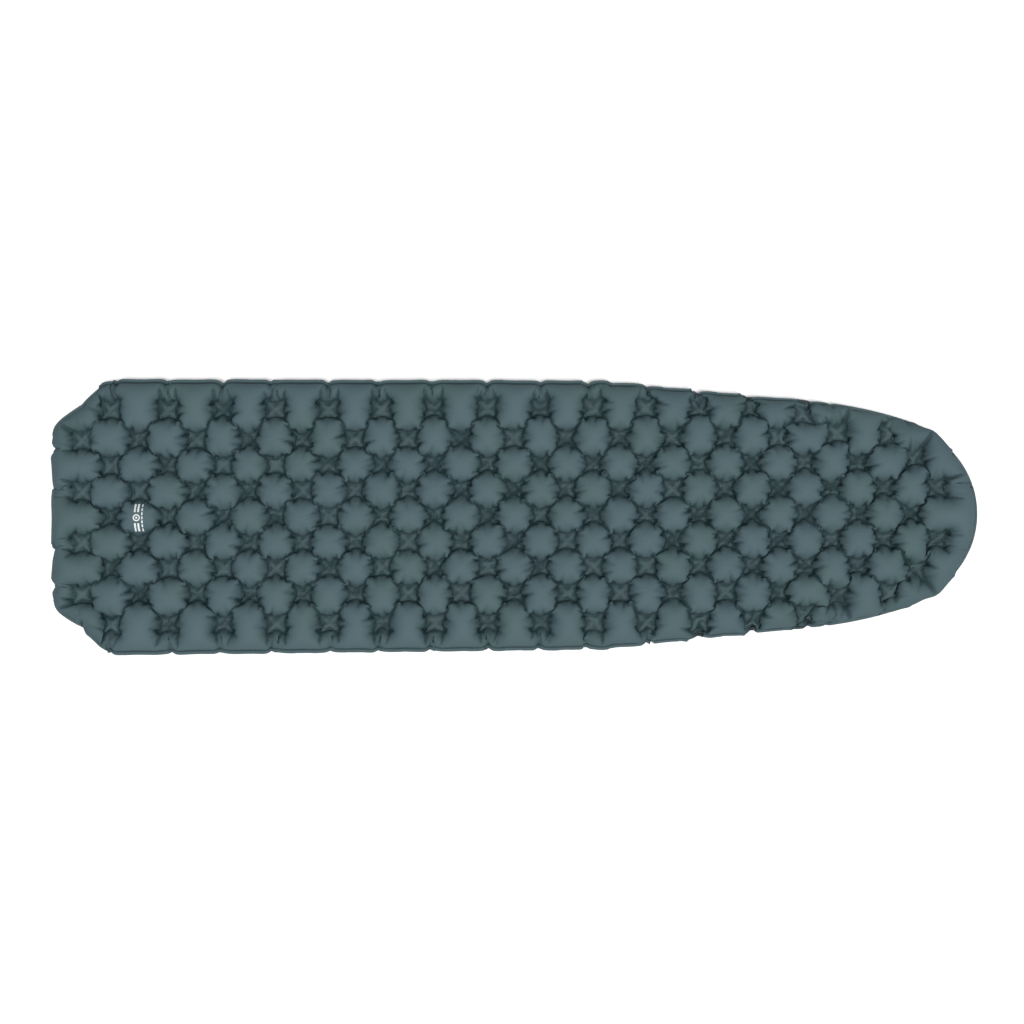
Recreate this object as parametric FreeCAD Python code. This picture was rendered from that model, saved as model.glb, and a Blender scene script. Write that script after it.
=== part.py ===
"""Inflatable sleeping pad, mummy outline, dot-welded cells, with a two-stage corner valve.

Frame: X runs from the square head end (-X) to the round foot end (+X), Z is up and the
pad lies on Z = 0. The two sheets meet at mid-height in a flat perimeter seam and at every
dot weld. The valve sits in the underside of one head corner, facing down and outwards.
Millimetres throughout.
"""

import FreeCAD, Part
import math
import os

Vector = FreeCAD.Vector

# Pad
HALF_LENGTH = 925.0
THICKNESS = 50.0
MID_HEIGHT = THICKNESS / 2
SHEET = 0.8  # wall of each laminated sheet
SEAM_WIDTH = 8.0  # flat perimeter flange where the sheets are fused

# Outline, upper half (the lower half mirrors it)
HEAD_HALF_FLAT = 175.0
CHAMFER_END = (-815.0, 275.0)
TAPER_START = (190.0, 268.0)
TAPER_END = (600.0, 228.0)
HEAD_CORNER_RADIUS = 45.0
HIP_RADIUS = 1500.0
FOOT_RADIUS = 200.0

# Rim of each half: (inset from the seam's inner edge, rise from mid-height)
RIM = ((0.0, 0.0), (3.0, 12.0), (11.0, 21.0), (26.0, MID_HEIGHT))

# Dot welds: a diamond lattice
WELD_PITCH = 105.3  # between welds of one row
ROW_PITCH = 51.3
WELD_X0 = 52.5  # a weld of the centre row
ROWS = 4  # on each side of the centre row
WELD_X_LIMIT = 870.0  # the end cells run on to the seam
WELD_MIN_INSET = 30.0  # welds that the lattice puts nearer the seam are pulled in to this
WELD_MAX_OUTSIDE = 5.0  # welds that the lattice puts further outside are left out
WELD_RADIUS = 11.0
PIT_MOUTH_RADIUS = 20.0

# Valve place: on a bevel under the head corner on the -Y side
BEVEL_DEG = 17.0
VALVE_INSET = 36.0  # from the chamfered seam edge to the valve's centre

# Valve, in its own frame: z outwards along the valve's axis, z = 0 on the sheet's outside
FLANGE_RADIUS = 24.0
FLANGE_WALL = 1.0
COLLAR_RADIUS = 16.5
COLLAR_BORE = 14.5
COLLAR_INNER_END = -8.0
COLLAR_OUTER_END = 3.0
LIP_RADIUS = 17.7
LIP_HEIGHT = 1.0
SHEET_HOLE_RADIUS = 16.6

RING_BORE = 16.6
RING_RADIUS = 19.5
RING_BOTTOM, RING_TOP = 0.1, 1.5
STRAP_WIDTH = 12.0

HEAD_RADIUS = 18.5
HEAD_BOTTOM, HEAD_TOP = 3.6, 4.8
PLUG_TOP_RADIUS, PLUG_END_RADIUS = 14.3, 13.2
PLUG_END = -6.5
PORT_RADIUS = 8.0
PORT_MOUTH_RADIUS = 9.0
PORT_STEP = 2.4  # where the port widens to take the cap's skirt
PORT_LEDGE = -1.6  # where a nozzle stops
THROAT_RADIUS = 6.6
SPIDER_TOP = -5.3
SPOKE_WIDTH = 1.8
SPOKES = 4
HUB_RADIUS = 2.6
HUB_HOLE = 1.1
SEAL_BORE, SEAL_RADIUS = 14.6, 17.2
PULL_TAB_LENGTH = 2.5
PULL_TAB_WIDTH = 10.0

INSERT_HINGE_X, INSERT_HINGE_Z = 25.0, 2.4
INSERT_BEAD = 0.75  # radius of the bead on the insert strap's fold line

CAP_RADIUS = 12.5
CAP_BOTTOM, CAP_TOP = 4.9, 6.3
SKIRT_TOP_RADIUS, SKIRT_END_RADIUS = 8.8, 8.6
SKIRT_END = 2.7
SKIRT_WALL = 1.2
CAP_HINGE_X, CAP_HINGE_Z = -15.5, 5.5
CAP_BEAD = 0.6
CAP_STRAP_WIDTH = 9.0
CAP_RING_BORE, CAP_RING_RADIUS = 13.2, 17.5
CAP_RING_TOP = 5.7

FLAP_RADIUS = 11.0
FLAP_WALL = 0.8
FLAP_GAP = 0.05
STEM_RADIUS = 0.9
STEM_HEAD_RADIUS = 1.8
STEM_HEAD_HEIGHT = 1.4
FLAP_LIFT = 1.5

CLEAR = 0.1
BIG = 400.0


# ---------------------------------------------------------------- outline
def unit(ax, ay):
    size = math.hypot(ax, ay)
    return ax / size, ay / size


def corner_arc(before, corner, after, radius):
    """(centre x, centre y, radius, start angle, end angle) of the arc that rounds a corner."""
    ux, uy = unit(corner[0] - before[0], corner[1] - before[1])
    vx, vy = unit(after[0] - corner[0], after[1] - corner[1])
    start, end = math.atan2(ux, -uy), math.atan2(vx, -vy)
    reach = radius * math.tan((start - end) / 2)
    cx = corner[0] - ux * reach + uy * radius
    cy = corner[1] - uy * reach - ux * radius
    return cx, cy, radius, start, end


def upper_arcs():
    """The outline's round stretches from head to foot, each joined to the next by a line."""
    head = (-HALF_LENGTH, HEAD_HALF_FLAT)
    arcs = [
        corner_arc((-HALF_LENGTH, 0.0), head, CHAMFER_END, HEAD_CORNER_RADIUS),
        corner_arc(head, CHAMFER_END, TAPER_START, HEAD_CORNER_RADIUS),
        corner_arc(CHAMFER_END, TAPER_START, TAPER_END, HIP_RADIUS),
    ]
    # Shoulder: touches the taper at its end, and the foot circle from outside it
    foot_x = HALF_LENGTH - FOOT_RADIUS
    tx, ty = unit(TAPER_END[0] - TAPER_START[0], TAPER_END[1] - TAPER_START[1])
    nx, ny = -ty, tx
    dx, dy = TAPER_END[0] - foot_x, TAPER_END[1]
    along = dx * nx + dy * ny
    radius = (dx * dx + dy * dy - FOOT_RADIUS**2) / (2 * (along - FOOT_RADIUS))
    cx, cy = TAPER_END[0] - radius * nx, TAPER_END[1] - radius * ny
    touch = math.atan2(-cy, foot_x - cx)
    arcs.append((cx, cy, radius, math.atan2(ny, nx), touch))
    arcs.append((foot_x, 0.0, FOOT_RADIUS, touch, 0.0))
    return arcs


def outline(inset, z):
    """The pad's outline moved inwards by inset, as a wire at height z."""
    upper = upper_arcs()
    foot = upper[-1]
    whole = upper[:-1] + [(foot[0], 0.0, foot[2], foot[3], -foot[3])]
    whole += [(cx, -cy, r, -end, -start) for cx, cy, r, start, end in reversed(upper[:-1])]
    edges, first, last = [], None, None
    for cx, cy, radius, start, end in whole:
        r = radius - inset
        points = [
            Vector(cx + r * math.cos(a), cy + r * math.sin(a), z)
            for a in (start, (start + end) / 2, end)
        ]
        if last and last.distanceToPoint(points[0]) > 1e-6:
            edges.append(Part.LineSegment(last, points[0]).toShape())
        edges.append(Part.Arc(*points).toShape())
        first, last = first or points[0], points[2]
    edges.append(Part.LineSegment(last, first).toShape())
    return Part.Wire(edges)


def weld_places():
    """Centres of the dot welds."""
    seam = outline(0.0, 0.0)
    inside = Part.Face(seam)
    places = []
    for row in range(-ROWS, ROWS + 1):
        y = row * ROW_PITCH
        x0 = WELD_X0 + (WELD_PITCH / 2 if row % 2 else 0.0)
        for step in range(-10, 10):
            x = x0 + step * WELD_PITCH
            if abs(x) > WELD_X_LIMIT:
                continue
            here = Vector(x, y, 0)
            away, pairs, _ = seam.distToShape(Part.Vertex(here))
            if not inside.isInside(here, 1e-3, True):
                away = -away
            if away < -WELD_MAX_OUTSIDE:
                continue
            if away < WELD_MIN_INSET:
                inwards = (here - pairs[0][0]) * (1 if away > 0 else -1)
                here = pairs[0][0] + inwards.normalize() * WELD_MIN_INSET
            places.append((here.x, here.y))
    return places


# ---------------------------------------------------------------- sheets
def dome(wall):
    """The closed upper half of the air chamber's outside, or its inside when wall is over 0."""
    sections = [
        outline(SEAM_WIDTH + inset + wall, MID_HEIGHT + max(0.0, rise - wall))
        for inset, rise in RIM
    ]
    return Part.makeLoft(sections, True, True)


def pits(places, wall):
    """The conical dimples that pull a sheet down to its dot welds."""
    floor = MID_HEIGHT + (0.0 if wall else SHEET)
    slope = (PIT_MOUTH_RADIUS - WELD_RADIUS) / (MID_HEIGHT - SHEET)
    grow = wall * math.hypot(1.0, slope)
    low = WELD_RADIUS + grow - (slope * SHEET if wall else 0.0)
    high = low + slope * (THICKNESS + 1.0 - floor)
    return Part.makeCompound(
        [
            Part.makeCone(low, high, THICKNESS + 1.0 - floor, Vector(x, y, floor))
            for x, y in places
        ]
    )


def plain_sheet(places, bevel=False):
    """The upper sheet, or the lower one still upside down when bevel is true."""
    outside, chamber = dome(0.0), dome(SHEET)
    if bevel:
        outside = outside.cut(bevel_block(0.0))
        chamber = chamber.cut(bevel_block(SHEET))
    outside = outside.cut(pits(places, 0.0))
    chamber = chamber.cut(pits(places, SHEET))
    seam = Part.Face(outline(0.0, MID_HEIGHT)).extrude(Vector(0, 0, SHEET))
    return seam.fuse(outside).cut(chamber).removeSplitter()


def flipped(shape):
    """The shape turned over about the pad's mid-height plane."""
    return shape.mirror(Vector(0, 0, MID_HEIGHT), Vector(0, 0, 1))


def chamfer_frame():
    """Middle of the -Y chamfered seam edge, and its outward horizontal direction."""
    ax, ay = -HALF_LENGTH, -HEAD_HALF_FLAT
    bx, by = CHAMFER_END[0], -CHAMFER_END[1]
    ux, uy = unit(bx - ax, by - ay)
    return (ax + bx) / 2, (ay + by) / 2, uy, -ux


def valve_placement(height=0.0):
    """Puts the valve's own frame in the pad: its x axis points up the bevel, to the seam."""
    tilt = math.radians(BEVEL_DEG)
    mx, my, ex, ey = chamfer_frame()
    normal = Vector(ex * math.sin(tilt), ey * math.sin(tilt), -math.cos(tilt))
    up_slope = Vector(ex * math.cos(tilt), ey * math.cos(tilt), math.sin(tilt))
    origin = Vector(
        mx - ex * VALVE_INSET,
        my - ey * VALVE_INSET,
        MID_HEIGHT - VALVE_INSET * math.tan(tilt),
    )
    turn = FreeCAD.Rotation(up_slope, normal.cross(up_slope), normal, "ZXY")
    return FreeCAD.Placement(origin + normal * height, turn)


def bevel_block(wall):
    """Everything outside the bevel plane, moved in by wall, turned over like the sheet."""
    block = Part.makeBox(BIG, BIG, BIG, Vector(-BIG / 2, -BIG / 2, -wall))
    block.Placement = valve_placement()
    return flipped(block)


def valve_hole():
    hole = Part.makeCylinder(SHEET_HOLE_RADIUS, 4.0, Vector(0, 0, -2.0))
    hole.Placement = valve_placement()
    return hole


def make_top_sheet(places):
    return plain_sheet(places)


def make_bottom_sheet(places):
    return flipped(plain_sheet(places, bevel=True)).cut(valve_hole())


# ---------------------------------------------------------------- valve
def tube(outer, inner, bottom, top):
    height = top - bottom
    base = Vector(0, 0, bottom)
    return Part.makeCylinder(outer, height, base).cut(
        Part.makeCylinder(inner, height, base)
    )


def slab(x0, x1, width, bottom, top):
    """A flat strap along the valve's x axis."""
    return Part.makeBox(x1 - x0, width, top - bottom, Vector(x0, -width / 2, bottom))


def bead(x, z, radius, width):
    """The round bead on a strap's fold line, along the valve's y axis."""
    return Part.makeCylinder(radius, width, Vector(x, -width / 2, z), Vector(0, 1, 0))


def make_valve_base():
    flange = tube(FLANGE_RADIUS, COLLAR_BORE, -SHEET - FLANGE_WALL, -SHEET)
    collar = tube(COLLAR_RADIUS, COLLAR_BORE, COLLAR_INNER_END, COLLAR_OUTER_END)
    lip = tube(LIP_RADIUS, COLLAR_BORE, COLLAR_OUTER_END - LIP_HEIGHT, COLLAR_OUTER_END)
    return collar.fuse([flange, lip]).removeSplitter()


def make_tether_ring():
    """Ring round the collar, with the strap that runs out to the insert's fold line."""
    ring = tube(RING_RADIUS, RING_BORE, RING_BOTTOM, RING_TOP)
    strap = slab(RING_BORE + 1.0, INSERT_HINGE_X - 0.4, STRAP_WIDTH, RING_BOTTOM, RING_TOP)
    return ring.fuse(strap).removeSplitter()


def make_valve_insert():
    """Plug with a stepped port, a spider for the flap, a pull tab and a hinged strap."""
    plug = Part.makeCone(
        PLUG_END_RADIUS, PLUG_TOP_RADIUS, HEAD_BOTTOM - PLUG_END, Vector(0, 0, PLUG_END)
    )
    head = Part.makeCylinder(HEAD_RADIUS, HEAD_TOP - HEAD_BOTTOM, Vector(0, 0, HEAD_BOTTOM))
    pull = slab(
        -HEAD_RADIUS - PULL_TAB_LENGTH, -HEAD_RADIUS + 3.0, PULL_TAB_WIDTH, HEAD_BOTTOM, HEAD_TOP
    )
    strap_end = INSERT_HINGE_X + INSERT_BEAD - CLEAR
    strap = slab(HEAD_RADIUS - 3.0, strap_end, STRAP_WIDTH, HEAD_BOTTOM, HEAD_TOP)
    web = slab(
        INSERT_HINGE_X - INSERT_BEAD + CLEAR,
        strap_end,
        STRAP_WIDTH,
        INSERT_HINGE_Z,
        HEAD_BOTTOM,
    )
    fold = bead(INSERT_HINGE_X, INSERT_HINGE_Z, INSERT_BEAD, STRAP_WIDTH)
    solid = plug.fuse([head, pull, strap, web, fold])
    steps = (
        (THROAT_RADIUS, SPIDER_TOP),
        (PORT_RADIUS, PORT_LEDGE),
        (PORT_MOUTH_RADIUS, PORT_STEP),
    )
    for radius, bottom in steps:
        solid = solid.cut(Part.makeCylinder(radius, HEAD_TOP - bottom, Vector(0, 0, bottom)))
    window = Part.makeCylinder(THROAT_RADIUS, SPIDER_TOP - PLUG_END, Vector(0, 0, PLUG_END))
    for step in range(SPOKES):
        spoke = Part.makeBox(
            THROAT_RADIUS + 1.0,
            SPOKE_WIDTH,
            SPIDER_TOP - PLUG_END,
            Vector(0, -SPOKE_WIDTH / 2, PLUG_END),
        )
        spoke.rotate(Vector(), Vector(0, 0, 1), step * 360.0 / SPOKES)
        window = window.cut(spoke)
    hub = Part.makeCylinder(HUB_RADIUS, SPIDER_TOP - PLUG_END, Vector(0, 0, PLUG_END))
    hole = Part.makeCylinder(HUB_HOLE, SPIDER_TOP - PLUG_END, Vector(0, 0, PLUG_END))
    return solid.cut(window.cut(hub)).cut(hole).removeSplitter()


def make_face_seal():
    return tube(SEAL_RADIUS, SEAL_BORE, COLLAR_OUTER_END + 0.05, HEAD_BOTTOM)


def make_cap_ring():
    """Open ring bonded on the insert's head; its two ends hold the cap's fold line."""
    ring = tube(CAP_RING_RADIUS, CAP_RING_BORE, HEAD_TOP, CAP_RING_TOP)
    gap = slab(
        -CAP_RING_RADIUS - 1.0, -10.0, CAP_STRAP_WIDTH + 4 * CLEAR, HEAD_TOP - 1.0, CAP_RING_TOP + 1.0
    )
    return ring.cut(gap)


def make_inflation_cap():
    disc = Part.makeCylinder(CAP_RADIUS, CAP_TOP - CAP_BOTTOM, Vector(0, 0, CAP_BOTTOM))
    height = CAP_BOTTOM - SKIRT_END
    skirt = Part.makeCone(SKIRT_END_RADIUS, SKIRT_TOP_RADIUS, height, Vector(0, 0, SKIRT_END))
    skirt = skirt.cut(
        Part.makeCylinder(SKIRT_END_RADIUS - SKIRT_WALL, height, Vector(0, 0, SKIRT_END))
    )
    strap = slab(
        CAP_HINGE_X, -CAP_RADIUS + 3.0, CAP_STRAP_WIDTH, CAP_HINGE_Z - CAP_BEAD, CAP_HINGE_Z + CAP_BEAD
    )
    fold = bead(CAP_HINGE_X, CAP_HINGE_Z, CAP_BEAD, CAP_STRAP_WIDTH)
    pull = slab(CAP_RADIUS - 3.0, CAP_RING_RADIUS + 1.0, PULL_TAB_WIDTH, CAP_RING_TOP + 0.15, CAP_TOP + 0.3)
    return disc.fuse([skirt, strap, fold, pull]).removeSplitter()


def make_check_flap():
    """Silicone disc on the chamber side of the spider, kept by its stem's head."""
    top = PLUG_END - FLAP_GAP
    disc = Part.makeCylinder(FLAP_RADIUS, FLAP_WALL, Vector(0, 0, top - FLAP_WALL))
    head_bottom = SPIDER_TOP + FLAP_LIFT + 2 * CLEAR
    stem = Part.makeCylinder(STEM_RADIUS, head_bottom - top, Vector(0, 0, top))
    head = Part.makeCone(
        STEM_HEAD_RADIUS, STEM_RADIUS, STEM_HEAD_HEIGHT, Vector(0, 0, head_bottom)
    )
    return disc.fuse([stem, head]).removeSplitter()


VALVE_PARTS = {
    "valve_base": make_valve_base,
    "tether_ring": make_tether_ring,
    "valve_insert": make_valve_insert,
    "face_seal": make_face_seal,
    "cap_ring": make_cap_ring,
    "inflation_cap": make_inflation_cap,
    "check_flap": make_check_flap,
}


def export(name, shape):
    volume = sum(solid.Volume for solid in shape.Solids)
    print(name, "solids", len(shape.Solids), "faces", len(shape.Faces), "valid", shape.isValid(),
          "volume", round(volume, 1), "box", shape.BoundBox)
    shape.exportStep(os.path.join("parts", name + ".step"))


def main():
    os.makedirs("parts", exist_ok=True)
    places = weld_places()
    print("dot welds", len(places))
    export("top_sheet", make_top_sheet(places))
    export("bottom_sheet", make_bottom_sheet(places))
    for name, make in VALVE_PARTS.items():
        shape = make()
        shape.Placement = valve_placement().multiply(shape.Placement)
        export(name, shape)


main()
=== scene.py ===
"""Inflatable sleeping pad: quilted sheets by cloth simulation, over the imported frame.

The two sheets are cut flat, fused along their seam and at every dot weld, and blown up by a
position-based cloth solver that runs on grids of three sizes. Everything is in metres, in the
frame of the CAD model: +X from head to foot, +Z up, and the pad lies on Z = 0.
"""

import math

import bpy
import numpy as np
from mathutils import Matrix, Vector
from mathutils.bvhtree import BVHTree


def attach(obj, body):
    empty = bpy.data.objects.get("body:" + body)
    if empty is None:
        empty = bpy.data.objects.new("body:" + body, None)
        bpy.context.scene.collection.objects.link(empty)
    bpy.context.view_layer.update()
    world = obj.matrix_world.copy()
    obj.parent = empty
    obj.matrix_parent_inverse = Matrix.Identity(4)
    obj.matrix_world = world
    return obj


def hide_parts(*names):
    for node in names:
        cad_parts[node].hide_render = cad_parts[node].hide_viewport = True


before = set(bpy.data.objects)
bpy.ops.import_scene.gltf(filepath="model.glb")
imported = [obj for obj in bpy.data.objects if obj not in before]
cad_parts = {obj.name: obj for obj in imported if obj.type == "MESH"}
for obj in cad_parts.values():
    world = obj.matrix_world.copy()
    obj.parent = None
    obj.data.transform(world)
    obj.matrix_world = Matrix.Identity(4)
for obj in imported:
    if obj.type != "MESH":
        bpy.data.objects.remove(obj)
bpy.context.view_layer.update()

MM = 0.001
SEED = 7

# Pad, as in the CAD model
HALF_LENGTH = 925 * MM
THICKNESS = 50 * MM
HEAD_HALF_FLAT = 175 * MM
CHAMFER_END = (-815 * MM, 275 * MM)
TAPER_START = (190 * MM, 268 * MM)
TAPER_END = (600 * MM, 228 * MM)
HEAD_CORNER_RADIUS = 45 * MM
HIP_RADIUS = 1500 * MM
FOOT_RADIUS = 200 * MM

# Dot welds, as in the CAD model
WELD_PITCH = 105.3 * MM
ROW_PITCH = 51.3 * MM
WELD_X0 = 52.5 * MM
ROWS = 4
STEPS_EACH_WAY = 10
WELD_X_LIMIT = 870 * MM
WELD_MIN_INSET = 30 * MM
WELD_MAX_OUTSIDE = 5 * MM

# Where the visible welds differ from the CAD model's
HEAD_STRETCH = 0.09  # columns are spaced this much wider near the head
HEAD_STRETCH_END = -640 * MM
OUTER_ROW_SHIFT = 8 * MM  # the outermost rows are a little nearer the edges
WELD_MIN_GAP = 66 * MM  # of two welds closer than this only one is kept
WELD_MERGE_SHIFT = 0.25  # and it moves by this share of the gap towards the other

# Printed mark, on the first cell of the middle row
MARK_PLACE = (-746 * MM, -1 * MM)
MARK_STEP = 2 * MM  # grid that lies on the cloth
MARK_LIFT = 0.35 * MM
MARK_RING = (4.6 * MM, 5.8 * MM, 7.0 * MM)
MARK_DOT = (0.01 * MM, 1.0 * MM, 2.0 * MM)
MARK_BAR_SIDES = ((-5 * MM, -1.5 * MM), (1.5 * MM, 5 * MM))
MARK_BAR_STARTS, MARK_BAR_LENGTH = (-27 * MM, 11 * MM), 16 * MM
MARK_DASH_SIDE = (9.5 * MM, 12 * MM)
MARK_DASHES, MARK_DASH_PITCH, MARK_DASH_LENGTH = 7, 8 * MM, 5.5 * MM

# Valve place, as in the CAD model
BEVEL = math.radians(17.0)
VALVE_INSET = 36 * MM
PATCH_RADIUS = 26 * MM  # the sheet is flat round the valve out to here
HOLE_RADIUS = 17.4 * MM  # and cut out up to here

# Valve details, in its own frame: X up the bevel, Z outwards
CAP_FACE, HEAD_FACE = 6.3 * MM, 5.7 * MM
BEADS = (
    # name, body, slot, radius, height, height of the face it is on, from and to degree
    ("cap_rim_bead", "cap", "cap_tpu", 10.8 * MM, 0.35 * MM, CAP_FACE, (0.0, 360.0)),
    ("cap_gate_mark", "cap", "cap_tpu", 2.2 * MM, 0.3 * MM, CAP_FACE, (0.0, 360.0)),
    ("insert_rim_bead", "insert", "valve_insert_tpu", 16.4 * MM, 0.3 * MM, HEAD_FACE, (-150, 150)),
)
BEAD_STEPS = (72, 8)  # along a bead, and over it
MOULDED_EDGE = 0.15 * MM  # bevel of the moulded parts' edges

# Flat cut of the sheets, and the grid on it
SHRINK = 1.23  # flat size over inflated size
EDGE_ALLOWANCE = -2.5 * MM  # what the edge cells draw in on top of that
SEAM_WIDTH = 7 * MM
LONG_EDGE_START = HEAD_HALF_FLAT - 10 * MM  # how far out the grid's first corner lies
FOOT_CORNER = math.radians(48)  # where the grid's last corner lies on the foot circle
HEAD_BLEND_END, FOOT_BLEND_START = 0.08, 0.45  # grid lines are straight between these shares
BORDERS = (np.s_[0], np.s_[-1], np.s_[:, 0], np.s_[:, -1])
RIM_SNAP, HOLE_SNAP = 0.45, 0.55  # points this near a rim, in grid steps, are moved onto it
WELD_CATCH = 0.62  # points this near a weld's middle, in grid steps, always belong to it

# Welds have corners that point at their neighbours, and sunken ones are pulled further into an X:
# (middle to corner, power), with power 1 for straight sides and less for hollow ones.
WELD_UP = (29 * MM, 0.70)
WELD_DOWN = (32 * MM, 0.55)
WELD_SMALLEST = 25 * MM
LIFTED_INSIDE, LIFTED_OUTWARDS = 0.12, 0.6  # share of lifted welds, and what the edges add

# Simulation: thicker than the pad by this factor, then pressed flat by it
PUFF = 1.36
MIDDLE = THICKNESS * PUFF / 2
LEVELS = (
    # columns, rows, resistance to compression, steps, pressure push, damping, smoothing
    (140, 44, 0.10, 1500, 0.200 * MM, 0.98, 0.00),
    (280, 88, 0.20, 700, 0.060 * MM, 0.98, 0.01),
    (560, 176, 0.35, 450, 0.020 * MM, 0.98, 0.00),
)
START_GAP, START_BUMP = 4 * MM, 18 * MM
START_NOISE, LATER_NOISE = 0.6 * MM, 0.15 * MM
DIAGONAL_STIFFNESS = 0.5
WELD_HOLD, WELD_HOLD_Z, SEAM_HOLD_Z = 0.10, 0.30, 0.02
WELD_SQUEEZE = 0.5  # the fused double cloth resists compression more
FUSED_GAP = 0.25 * MM  # between each sheet's visible face and the fused middle

# How the welds buckle
WELD_DOME, SUNKEN_DOME = 5 * MM, -0.6  # height of the lifted ones, and share of the sunken ones
WELD_RIDGE, LIFTED_RIDGE = 2.0 * MM, 0.5  # the same for their ridges
RIDGE_SPREAD = (0.5, 1.3)

# Tucks: short creases that run from each weld's sides into the cells
TUCK_PLACES = (-14 * MM, -5 * MM, 5 * MM, 14 * MM)
TUCK_SHARES = (1.0, 0.6, 0.6, 1.0)
TUCK_DEPTH, TUCK_LENGTH, TUCK_WIDTH = 4.5 * MM, 38 * MM, 8.0 * MM
TUCK_DEPTH_SPREAD, TUCK_LENGTH_SPREAD, TUCK_JITTER = (0.3, 1.3), (0.6, 1.25), 3.5 * MM
TUCK_SHARE_ACROSS = 0.6  # those that run across the pad are shallower
TUCK_LEAN = 0.25  # the outer ones lean towards the cell's middle
TUCK_END_WIDTH = 0.35  # share of the width that is left at the far end
TUCK_FAN = 0.9  # tucks of one side stay within this slope of its middle
TUCK_FADE = 1.6  # above 1, they keep their full depth for a while

# Outline: how far back it is evened out, and by what share at each X
EVEN_DEPTH = 60 * MM
EVEN_X, EVEN_SHARES = (-0.9, -0.8, 0.45, 0.62), (0.3, 0.55, 0.55, 1.0)
NOTCH_REACH, NOTCH_DEPTH, NOTCH_HALF_WIDTH, NOTCH_LENGTH = 62 * MM, 6 * MM, 10 * MM, 30 * MM
NOTCH_SPREAD = (0.4, 1.2)
NOTCH_FROM, NOTCH_TO = 0.05, 0.9  # shares of the edge between which it has notches

# Painted shade in the cloth's colour, from its shape
PIT_SHADES = ((8 * MM, 54.0), (20 * MM, 36.0))  # (size of the pit, darkening per metre of depth)
# painted shade: LOWEST_LIT down the cells' sides, FLANGE_LIT on the seam's flange
LOWEST_LIT = 0.70  # at mid-height, against 1 on the highest crown
FLANGE_LIT = 0.8
# painted shade in creases: full in a crease this deep, measured over HOLLOW_REACH grid steps
HOLLOW_DEPTH = 1.2 * MM  # a crease this deep is fully dark
HOLLOW_REACH = 2  # over this many grid steps
# how strongly painted shade darkens the edge notches, against a full tuck
NOTCH_SHADE = 1.4
CREASE_REACH = 9 * MM  # how far off a crease its distance is kept
LINK_LONGEST = 92 * MM  # longest crease between diagonal neighbours
# strength of the painted shade lines round the welds, which changes with the side as the light
# falls
LINE_SHADE_MIDDLE, LINE_SHADE_SWING, LINE_SHADE_RANGE = 0.85, 0.55, (0.3, 1.0)

# Cloth: its colour, another that clouds it, and the colour of the painted shade deep in the
# creases
TOP_COLOURS = (0.068, 0.110, 0.118, 1), (0.070, 0.110, 0.126, 1), (0.001, 0.011, 0.013, 1)
BOTTOM_COLOURS = (0.040, 0.058, 0.064, 1), (0.042, 0.061, 0.069, 1), (0.002, 0.005, 0.007, 1)
CLOTH_ROUGHNESS, FUSED_SHINE = (0.60, 0.68), 0.06
CLOTH_SPECULAR = 0.12
THREAD_PITCH = 0.55 * MM
WEAVE_DEPTH, RUMPLE_DEPTH, GRAIN_DEPTH = 0.012 * MM, 0.30 * MM, 0.02 * MM
CLOUD_LUMPS, RUMPLE_LUMPS, GRAIN_LUMPS = 5.0, 110.0, 900.0  # per metre
STREAK_LUMPS = (60.0, 900.0, 1.0)
GRAIN_LIGHT, STREAK_LIGHT, WEAVE_LIGHT = (0.90, 1.00), (-0.03, 0.03), 0.04
# how dark the painted shade is in creases, and in tucks and notches
HOLLOW_SHADE, TUCK_SHADE = 0.40, 0.36
# darkness of the painted shade lines along the creases, and where it starts to fade
CREASE_SHADE, CREASE_EDGES = 0.88, (0.4 * MM, 2.4 * MM)  # darkness, and where it starts to fade
CREASE_WANDER, WANDER_LUMPS, BREAK_LUMPS = 2.2 * MM, 55.0, 23.0
CREASE_BREAKS = (0.38, 0.58, 0.15, 1.0)  # noise from and to, and crease strength from and to
MOULD_CLOUD_LUMPS, MOULD_GRAIN_LUMPS = 90.0, 2600.0
NOISE_SPAN = (0.3, 0.7)  # nearly all noise lies between these

# Moulded parts: colour and roughness
MOULDED = {
    "valve_tpu": ((0.030, 0.032, 0.035), 0.45),
    "valve_insert_tpu": ((0.045, 0.048, 0.052), 0.42),
    "cap_tpu": ((0.085, 0.105, 0.108), 0.5),
    "seal_silicone": ((0.012, 0.012, 0.013), 0.6),
    "flap_silicone": ((0.55, 0.56, 0.54), 0.4),
    "print_ink": ((0.62, 0.66, 0.66), 0.55),
}
DARKER, PALER = 0.82, 1.15  # the two shades that cloud a moulded part
ROUGHNESS_SPREAD = 0.06

# Light and camera
SUN_ENERGY, SUN_ANGLE, SUN_FROM = 3.3, math.radians(24), (0.08, -0.16, 1.0)
GLOW_FROM = (0.45, -0.75, 0.49)  # the side from which the surround is brightest
GLOW_STRENGTH = (0.03, 0.62)
FLOOR_SIZE = 14
CAMERA_PLACE, CAMERA_TURN = (-0.004, 0.007), math.radians(-0.25)
CAMERA_HEIGHT = 2.3  # above the seam
VIEW_WIDTH = 2.042  # across the picture, at the seam's height
SENSOR_WIDTH = 36.0


# -------- outline
def unit(ax, ay):
    size = math.hypot(ax, ay)
    return ax / size, ay / size


def corner_arc(before, corner, after, radius):
    """(centre x, centre y, radius, start angle, end angle) of the arc that rounds a corner."""
    ux, uy = unit(corner[0] - before[0], corner[1] - before[1])
    vx, vy = unit(after[0] - corner[0], after[1] - corner[1])
    start, end = math.atan2(ux, -uy), math.atan2(vx, -vy)
    reach = radius * math.tan((start - end) / 2)
    cx = corner[0] - ux * reach + uy * radius
    cy = corner[1] - uy * reach - ux * radius
    return cx, cy, radius, start, end


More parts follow.
